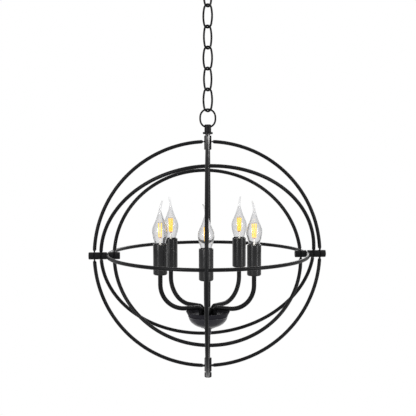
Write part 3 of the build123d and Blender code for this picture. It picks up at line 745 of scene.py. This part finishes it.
def glassParts(base, lean):
    glass = glassShape
    heights = [-glass["seat"] + k * glass["length"] / glass["rows"] for k in range(glass["rows"] + 1)]
    path, outerR = [], []
    for z in heights:
        along = max(0.0, (z - glass["bendFrom"]) / glass["bendOver"])
        shift = glass["lean"] * along * along
        path.append(base + (up * z + lean * shift) * mm)
        outerR.append(glassRadius(z))
    outerR[-1] *= 0.55
    outerR[-2] *= 0.9
    outside = swept(path, outerR, sides=glass["sides"], caps=False)
    cut = glass["hollowRows"]
    innerR = [r - glass["wall"] for r in outerR[:cut]]
    innerR = [max(r, 0.25) for r in innerR]
    inside = swept(path[:cut], innerR, sides=glass["sides"], caps=False)
    return outside, inside, cut


def buildGlass(name, base, lean, body, node):
    outside, inside, cut = glassParts(base, lean)
    verts, faces = joined([outside, (inside[0], [tuple(reversed(face)) for face in inside[1]])])
    sides = glassShape["sides"]
    start = len(outside[0])
    for k in range(sides):
        n = (k + 1) % sides
        faces.append((k, start + k, start + n, n))
    last = len(outside[0]) - sides
    faces.append(tuple(last + k for k in range(sides)))
    end = start + (cut - 1) * sides
    faces.append(tuple(end + k for k in range(sides)))
    return finishMesh(name, verts, faces, body, "glass", "clear_glass", [node], sharp=60)


holders = []
for i in range(1, 6):
    path, root, reach, sleeveFoot = armPath(i)
    bar = swept(path, armShape["tube"], sides=28)
    low = swept([root + up * (floorTop - armShape["foot"] * mm), root + up * floorTop], 4.0, sides=28)
    high = swept([reach + up * sleeveFoot, reach + up * (sleeveFoot + armShape["entry"] * mm)], 4.0, sides=28)
    finishMesh(f"arm_{i}_tube", *joined([bar, low, high]), "fixture", "black", "black_satin", [f"arm_{i}"])
    dishHoles.append((root + up * (plateFoot - mm), up, 4.05, 4))

    sleeve = sleeveShape
    foot = reach + up * sleeveFoot
    height = (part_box(f"candle_sleeve_{i}")[1].z - sleeveFoot) / mm
    inside = sleeve["radius"] - sleeve["wall"]
    profile = soften([
        (sleeve["bore"], 0), (sleeve["radius"], 0, sleeve["round"]), (sleeve["radius"], height, 0.3),
        (inside, height, 0.3), (inside, sleeve["wall"], sleeve["round"] - sleeve["wall"]),
        (sleeve["bore"], sleeve["wall"]),
    ], steps=8)
    verts, faces = turned(profile, foot, turns=72)
    finishMesh(f"candle_sleeve_{i}_tube", verts, faces, "fixture", "sleeve", "sleeve_black", [f"candle_sleeve_{i}"])

    holder = holderShape
    holderFoot = foot + up * sleeve["wall"] * mm
    top = holder["height"]
    profile = soften([
        (0, holder["entry"]), (4.05, holder["entry"]), (4.05, 0),
        (holder["radius"] - holder["skirt"], 0), (holder["radius"], holder["skirt"], 0.8),
        (holder["radius"], top, holder["bevel"]), (holder["shell"], top, 0.5),
        (holder["shell"], top - holder["depth"]), (0, top - holder["depth"]),
    ], closed=False)
    holders.append(turned(profile, holderFoot, closed=False, turns=56))

    cap = capShape
    capFoot = Vector((reach.x, reach.y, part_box(f"bulb_cap_{i}")[0].z))
    button = soften([(0, 0), (cap["button"], 0, 0.4), (cap["button"], 1.0), (0, 1.0)], closed=False)
    skirtIn = cap["skirt"] - cap["wall"]
    parts = [
        turned(button, capFoot, closed=False, turns=32),
        threadTube(cap["barrel"], cap["depth"], cap["pitch"], 3.5, 20.0, capFoot),
        turned(soften([
            (cap["barrel"] - 0.6, 20.0), (cap["barrel"], 20.0), (cap["skirt"], 20.8, 0.4),
            (cap["skirt"], cap["length"], 0.2), (skirtIn, cap["length"], 0.2), (skirtIn, 21.2),
            (cap["barrel"] - 0.6, 20.6),
        ]), capFoot, turns=48),
    ]
    finishMesh(f"bulb_cap_{i}_screw", *joined(parts), f"bulb_{i}", "nickel", "nickel_cap", [f"bulb_cap_{i}"])
    cone = soften([(cap["button"], 1.0), (cap["barrel"] - 0.75, 3.5), (0, 3.5), (0, 1.0)], closed=False)
    ring = turned(cone, capFoot, closed=False, turns=32)
    finishMesh(f"bulb_cap_{i}_ring", *ring, f"bulb_{i}", "phenolic", "phenolic")

    glassFoot = capFoot + up * cap["length"] * mm
    buildGlass(f"bulb_glass_{i}_blown", glassFoot, level(glassShape["tails"][i - 1]), f"bulb_{i}", f"bulb_glass_{i}")

    support = mountShape
    mountFoot = glassFoot - up * glassShape["seat"] * mm
    corners = [
        (support["radius"], 0), (support["radius"], support["foot"]), (support["flare"], 2 * support["foot"]),
        (2.4, 7), (support["top"], 11), (support["top"], support["height"]),
    ]
    profile = soften([(0, 0)] + [(*q, 0.8) for q in corners] + [(0, support["height"])], closed=False)
    mount = turned(profile, mountFoot, closed=False, turns=32)
    finishMesh(f"bulb_mount_{i}", *mount, f"bulb_{i}", "cream", "filament", [f"bulb_filament_{i}"])
    bead = soften([(0, 0), (2.3, 0, 0.4), (2.3, 1.6, 0.6), (0, 1.6)], closed=False)
    spot = turned(bead, mountFoot + up * (support["height"] - 1.4) * mm, closed=False, turns=24)
    finishMesh(f"bulb_mount_{i}_bead", *spot, f"bulb_{i}", "red", "filament")
    thread = filamentShape
    rods, tips = [], []
    base = mountFoot + up * (support["height"] - 1.0) * mm
    for k in range(4):
        out = level(k * 90 + 45 + thread["turns"][i - 1])
        a = base + out * thread["foot"] * mm
        way = (up * thread["length"] + out * (thread["head"] - thread["foot"])).normalized()
        b = a + way * thread["length"] * mm
        rods.append(swept([a + way * thread["tip"] * mm, b - way * thread["tip"] * mm], thread["rod"], sides=14))
        for end, sign in ((a, 1), (b, -1)):
            tips.append(swept([end, end + way * sign * thread["tip"] * mm], 0.55, sides=10))
        tips.append(swept([base + out * 1.2 * mm, a + way * 0.3 * mm], thread["wire"], sides=8))
    ringHigh = base + up * (thread["length"] - 0.3) * mm
    halo = [ringHigh + level(15 * k) * (thread["head"] - 0.1) * mm for k in range(24)]
    tips.append(swept(halo, thread["wire"], sides=8, closed=True))
    finishMesh(f"bulb_rods_{i}", *joined(rods), f"bulb_{i}", "phosphor", "filament")
    finishMesh(f"bulb_leads_{i}", *joined(tips), f"bulb_{i}", "wireMetal", "filament")
finishMesh("lamp_holder_bodies", *joined(holders), "fixture", "phenolic", "phenolic", ["lamp_holders"])
drill(plate, dishHoles)
print("arms and candles done")


# pieces shown as they are
plain = {
    "ceiling_strap": "zinc", "ceiling_nipple": "zinc", "nipple_nuts": "zinc", "arm_nuts": "zinc",
    "canopy_loop": "black", "screw_shells": "brass", "contact_tongues": "brass",
}
for node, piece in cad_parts.items():
    if piece.hide_render:
        continue
    piece.data.materials.clear()
    piece.data.materials.append(looks[plain[node]])
    for polygon in piece.data.polygons:
        polygon.material_index = 0
print("plain pieces done")


camera = {"distance": 2.25, "around": -4.0, "above": 8.04, "pixel": 2.217, "aside": 0.12, "drop": 46.63, "roll": -0.06}
view = camera
focal = view["distance"] / (view["pixel"] * mm)
around, above = math.radians(view["around"]), math.radians(view["above"])
data = bpy.data.cameras.new("camera")
data.sensor_width = 36
data.lens = focal / 416 * 36
eye = bpy.data.objects.new("camera", data)
bpy.context.scene.collection.objects.link(eye)
eye.location = orb + view["distance"] * Vector((
    math.sin(around) * math.cos(above), -math.cos(around) * math.cos(above), math.sin(above)))
pitch = above - math.atan(view["drop"] / focal)
heading = around - math.atan(view["aside"] / focal)
aim = Vector((-math.sin(heading) * math.cos(pitch), math.cos(heading) * math.cos(pitch), -math.sin(pitch)))
turnBy = aim.to_track_quat("-Z", "Y").to_matrix() @ Matrix.Rotation(math.radians(view["roll"]), 3, "Z")
eye.rotation_euler = turnBy.to_euler()
bpy.context.scene.camera = eye

lamps = {
    "frontLeft": {"at": (-1.5, -1.9, 0.5), "size": (0.7, 1.6), "power": 34},
    "frontRight": {"at": (1.7, -1.5, 0.3), "size": (0.5, 1.6), "power": 24},
    "back": {"at": (0.6, 2.0, 0.9), "size": (1.2, 1.2), "power": 22},
    "above": {"at": (0.0, -0.3, 1.6), "size": (1.4, 1.4), "power": 4},
}
for name, lamp in lamps.items():
    light = bpy.data.lights.new(name, "AREA")
    light.shape = "RECTANGLE"
    light.size, light.size_y = lamp["size"]
    light.energy = lamp["power"]
    made = bpy.data.objects.new(name, light)
    bpy.context.scene.collection.objects.link(made)
    made.location = orb + Vector(lamp["at"])
    made.rotation_euler = (orb - made.location).to_track_quat("-Z", "Y").to_euler()
    made.visible_camera = False
    made.visible_transmission = False

# the floor lies well under the lamp, below what the photo's view takes in
floorSet = {"radius": 1.0, "below": 1.35, "turns": 96}
floorCentre = orb - up * floorSet["below"]
rim = [floorCentre + level(360 * k / floorSet["turns"]) * floorSet["radius"] for k in range(floorSet["turns"])]
floorMesh = bpy.data.meshes.new("floor")
floorMesh.from_pydata([tuple(point) for point in rim], [], [tuple(range(floorSet["turns"]))])
floorMesh.materials.append(paleFloor("paleFloor"))
floor = bpy.data.objects.new("floor", floorMesh)
bpy.context.scene.collection.objects.link(floor)

world = bpy.data.worlds.new("studio")
bpy.context.scene.world = world
world.use_nodes = True
sky = Look("studio", world.node_tree)
direct = sky.node("ShaderNodeLightPath", out="Is Camera Ray")
through = sky.node("ShaderNodeLightPath", out="Is Transmission Ray")
mirrored = sky.node("ShaderNodeLightPath", out="Is Glossy Ray")
white = sky.node("ShaderNodeBackground", inputs={"Color": rgb(1, 1, 1), "Strength": 1.0})
dim = sky.node("ShaderNodeBackground", inputs={"Color": rgb(1, 1, 1), "Strength": 0.35})
seen = direct.calc("MAXIMUM", direct.calc("MAXIMUM", direct, through), mirrored)
mixed = sky.node("ShaderNodeMixShader", inputs={0: seen, 1: dim, 2: white})
sky.node("ShaderNodeOutputWorld", inputs={"Surface": mixed})
bpy.context.scene.view_settings.view_transform = "Standard"
print("camera and light done")
